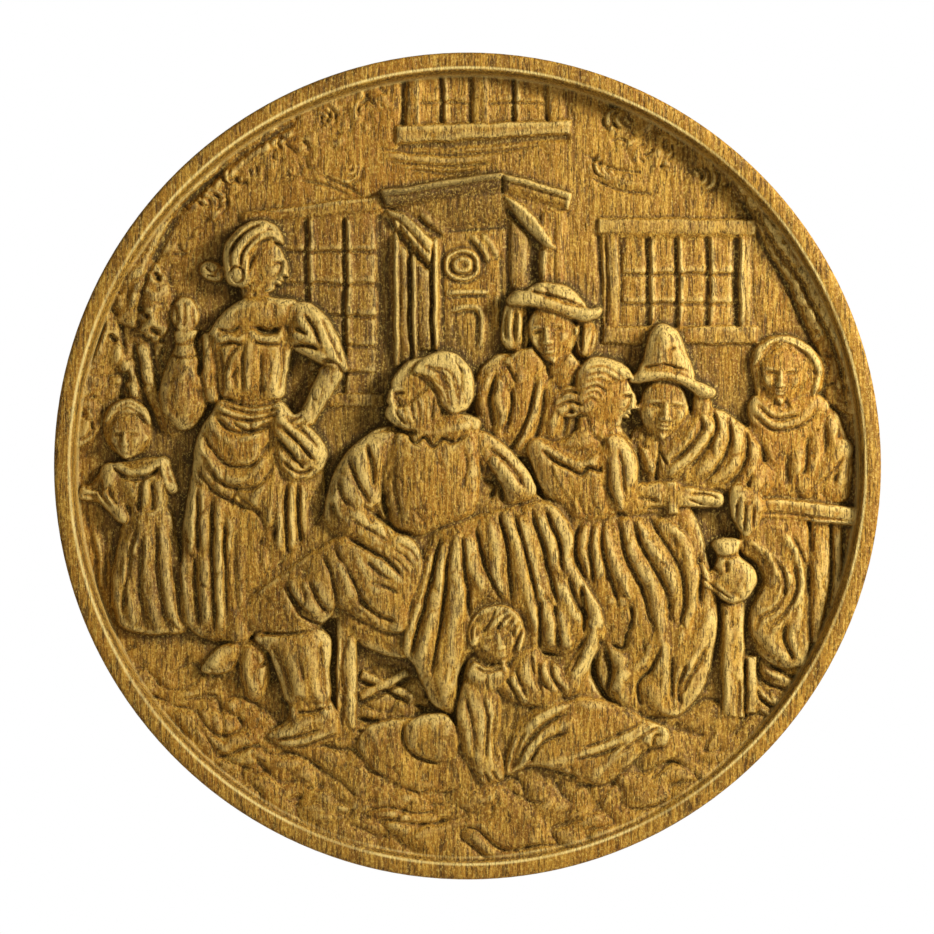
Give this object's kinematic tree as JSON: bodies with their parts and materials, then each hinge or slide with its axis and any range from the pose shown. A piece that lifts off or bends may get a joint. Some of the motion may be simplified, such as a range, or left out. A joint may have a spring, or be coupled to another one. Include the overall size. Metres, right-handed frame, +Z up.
{
  "type": "relief roundel",
  "caption": "Round wooden wall plaque with a plain raised rim round a sunk tavern scene carved in high relief.",
  "frame": {"origin": "centre of the flat back, which lies against the wall", "axes": "+Y out of the back into the wall, so the carving faces -Y; +Z up as hung; +X to the viewer's right"},
  "size_m": [0.3, 0.022, 0.3],
  "materials": {
    "oak": "oiled oak, golden brown, with dark patina in the cuts"
  },
  "bodies": {
    "root": {"carved_roundel": "oak"}
  },
  "joints": []
}
